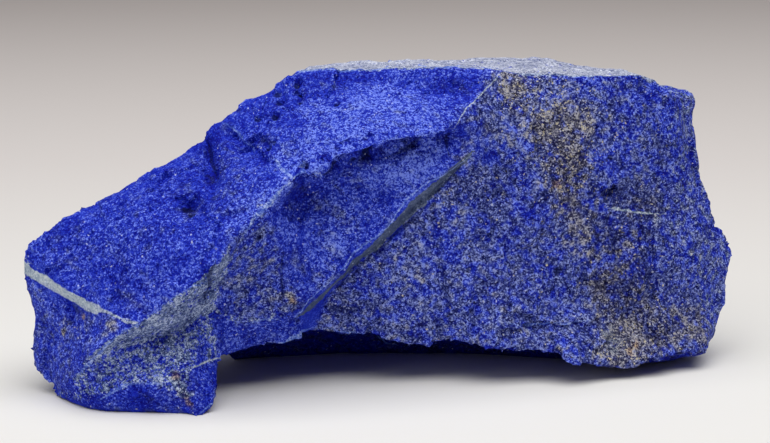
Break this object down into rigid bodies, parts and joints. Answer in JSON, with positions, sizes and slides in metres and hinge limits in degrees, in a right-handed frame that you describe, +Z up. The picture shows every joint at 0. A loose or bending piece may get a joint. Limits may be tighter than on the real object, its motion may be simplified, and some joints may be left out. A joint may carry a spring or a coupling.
{
  "type": "lapis lazuli specimen",
  "caption": "Rough broken piece of lapis lazuli rock with fracture ledges, a calcite vein and an arched underside, standing on its natural resting patches",
  "frame": {"origin": "on the surface that the stone stands on, under the middle of its bounding box", "axes": "+X along the stone's length towards its blunt, thick end; -Y is the side with the big broken faces; +Z up"},
  "size_m": [0.1308, 0.0574, 0.057],
  "materials": {
    "lapis": "matte"
  },
  "bodies": {
    "root": {"lapis_stone": "lapis"}
  },
  "joints": []
}
